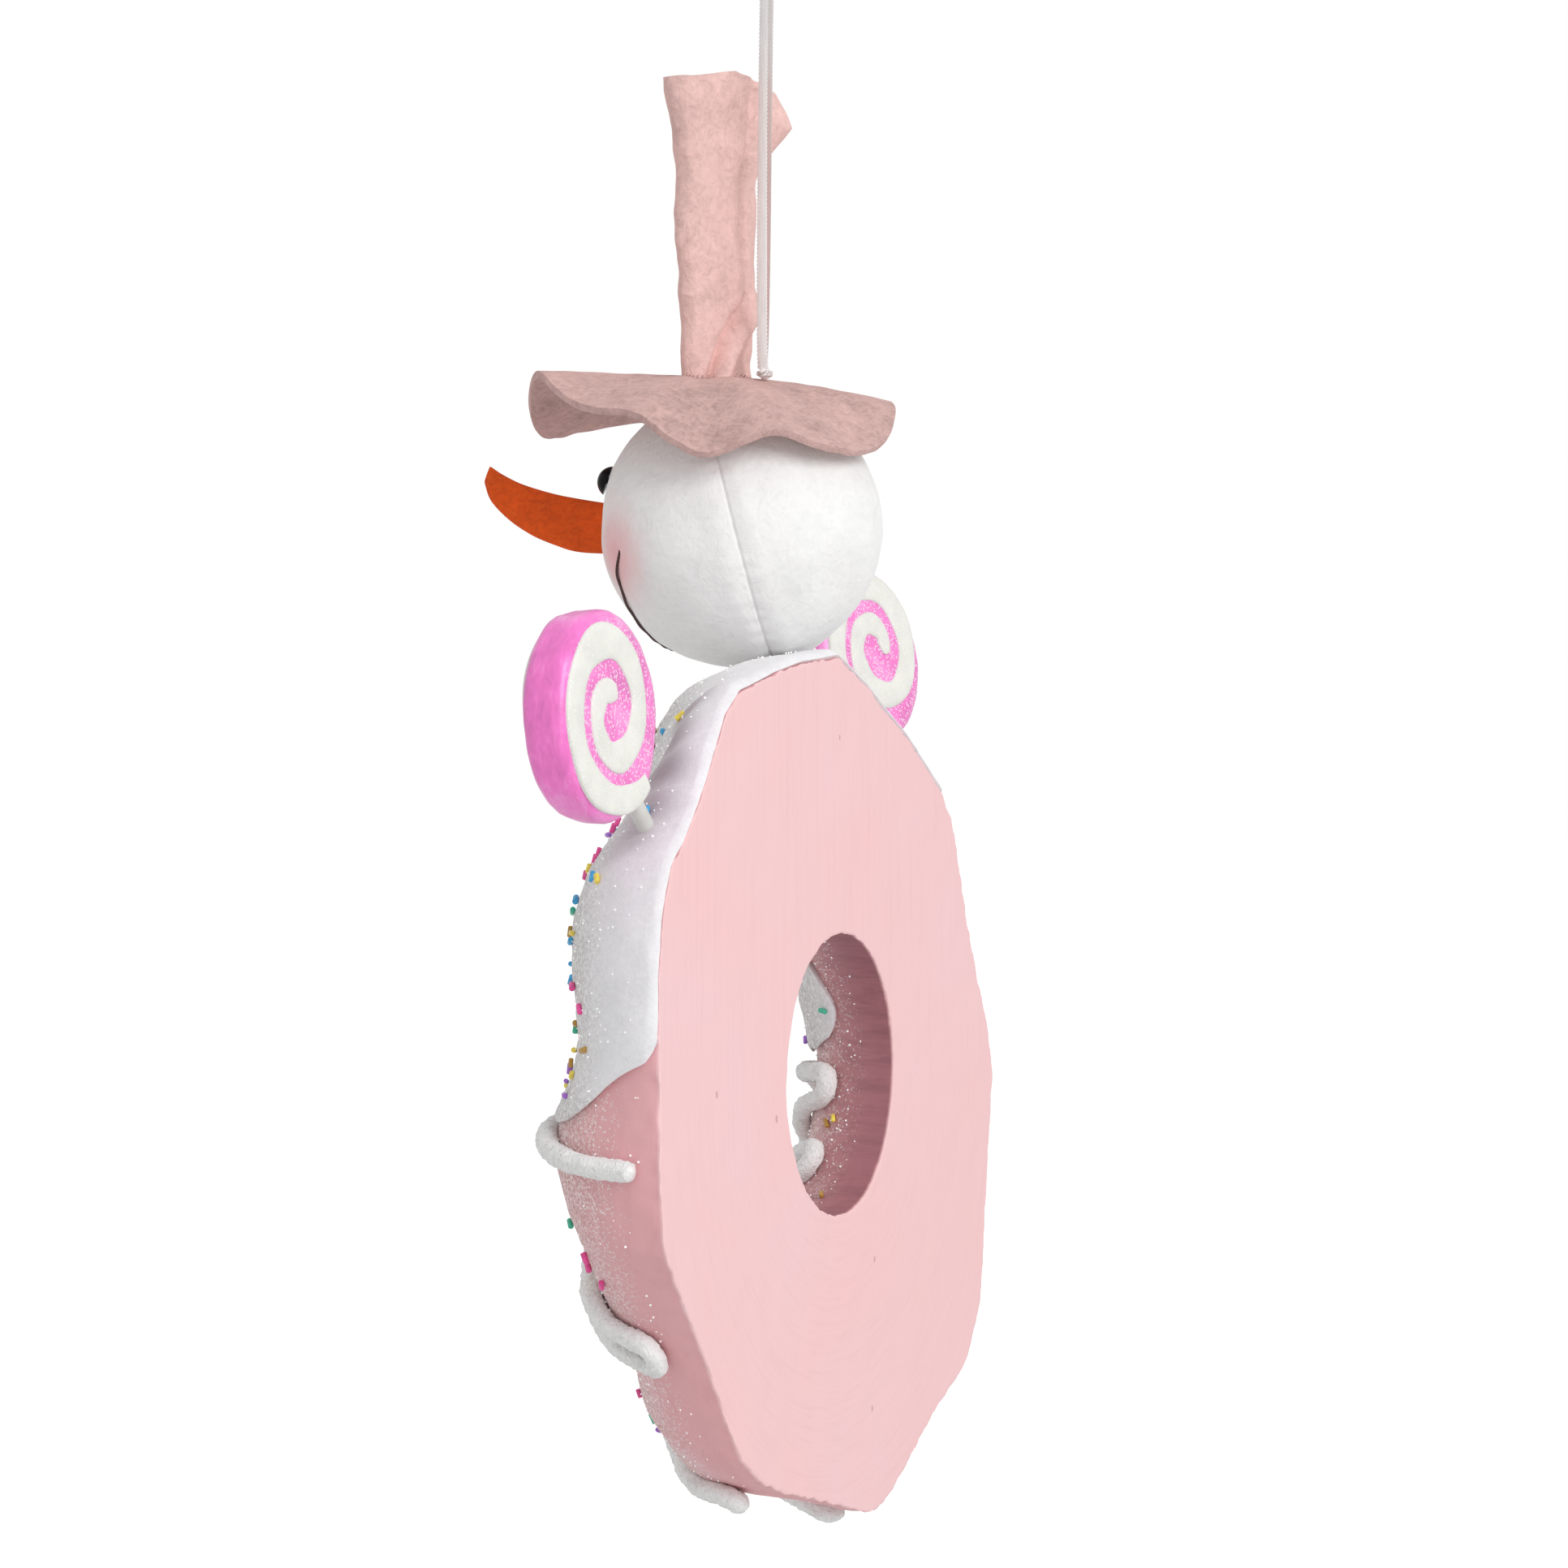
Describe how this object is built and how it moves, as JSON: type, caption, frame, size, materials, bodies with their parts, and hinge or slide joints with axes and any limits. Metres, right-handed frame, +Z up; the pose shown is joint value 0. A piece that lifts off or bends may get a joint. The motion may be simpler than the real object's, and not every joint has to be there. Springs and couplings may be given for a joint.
{
  "type": "hanging snowman ornament",
  "caption": "Hanging snowman ornament: ring body with felt icing and sprinkles, stuffed ball head in a tall felt hat, lollipop arms, and a ribbon loop.",
  "frame": {"origin": "where a hook holds the top of the ribbon loop, at rest", "axes": "+Z up, -Y is the way the face and the nose look, +X to the viewer's right when seen from the front"},
  "size_m": [0.2471, 0.1095, 0.3889],
  "materials": {
    "foam_pink": "matte",
    "icing_white": "matte",
    "rope_white": "matte",
    "fleece_white": "matte",
    "stuffing": "matte",
    "hat_felt": "matte",
    "hat_thread": "matte",
    "nose_felt": "matte",
    "bead_black": "gloss",
    "mouth_thread": "matte",
    "ribbon_satin": "satin",
    "candy_pink": "satin",
    "candy_swirl": "satin",
    "stick_white": "satin",
    "pin_wood": "matte",
    "sprinkle_pink": "satin",
    "sprinkle_yellow": "satin",
    "sprinkle_brown": "satin",
    "sprinkle_green": "satin",
    "sprinkle_blue": "satin",
    "sprinkle_purple": "satin"
  },
  "bodies": {
    "ribbon_loop": {"hanging_ribbon": "ribbon_satin"},
    "knot": {"ribbon_knot": "ribbon_satin"},
    "lashing": {"knot_lashing": "ribbon_satin"},
    "lollipop_right": {"lollipop_right_candy": "candy_pink", "lollipop_right_stick": "stick_white", "lollipop_right_swirl_back": "candy_swirl", "lollipop_right_swirl_front": "candy_swirl"},
    "lollipop_left": {"lollipop_left_candy": "candy_pink", "lollipop_left_stick": "stick_white", "lollipop_left_swirl_back": "candy_swirl", "lollipop_left_swirl_front": "candy_swirl"},
    "snowman": {"eye_left": "bead_black", "eye_right": "bead_black", "foam_ring": "foam_pink", "hat_brim": "hat_felt", "hat_crown": "hat_felt", "hat_stitches": "hat_thread", "hat_top": "hat_felt", "head_cover_back": "fleece_white", "head_cover_front": "fleece_white", "head_filling": "stuffing", "icing_felt": "icing_white", "icing_rope_1": "rope_white", "icing_rope_2": "rope_white", "icing_rope_3": "rope_white", "icing_rope_4": "rope_white", "icing_rope_5": "rope_white", "icing_rope_6": "rope_white", "mouth_thread": "mouth_thread", "neck_pin": "pin_wood", "nose_layer_left": "nose_felt", "nose_layer_right": "nose_felt", "sprinkles_blue": "sprinkle_blue", "sprinkles_brown": "sprinkle_brown", "sprinkles_green": "sprinkle_green", "sprinkles_pink": "sprinkle_pink", "sprinkles_purple": "sprinkle_purple", "sprinkles_yellow": "sprinkle_yellow"}
  },
  "joints": [
    {"name": "ribbon_twist", "type": "hinge", "parent": "ribbon_loop", "child": "knot", "pos_m": [0, 0, -0.10257], "axis": [0, 0, 1], "range_deg": [-180, 180]},
    {"name": "nod", "type": "hinge", "parent": "knot", "child": "lashing", "pos_m": [0, 0, -0.10257], "axis": [1, 0, 0], "range_deg": [-2.5, 15]},
    {"name": "sway", "type": "hinge", "parent": "lashing", "child": "snowman", "pos_m": [0, 0, -0.10257], "axis": [0, 1, 0], "range_deg": [-15, 15]},
    {"name": "lollipop_right_turn", "type": "hinge", "parent": "snowman", "child": "lollipop_right", "pos_m": [0.07339, 0.011, -0.23113], "axis": [0.7124, -0.0499, 0.7], "range_deg": [-180, 180]},
    {"name": "lollipop_left_turn", "type": "hinge", "parent": "snowman", "child": "lollipop_left", "pos_m": [-0.03958, 0, -0.21515], "axis": [-0.544, -0.0499, 0.8376], "range_deg": [-180, 180]}
  ]
}
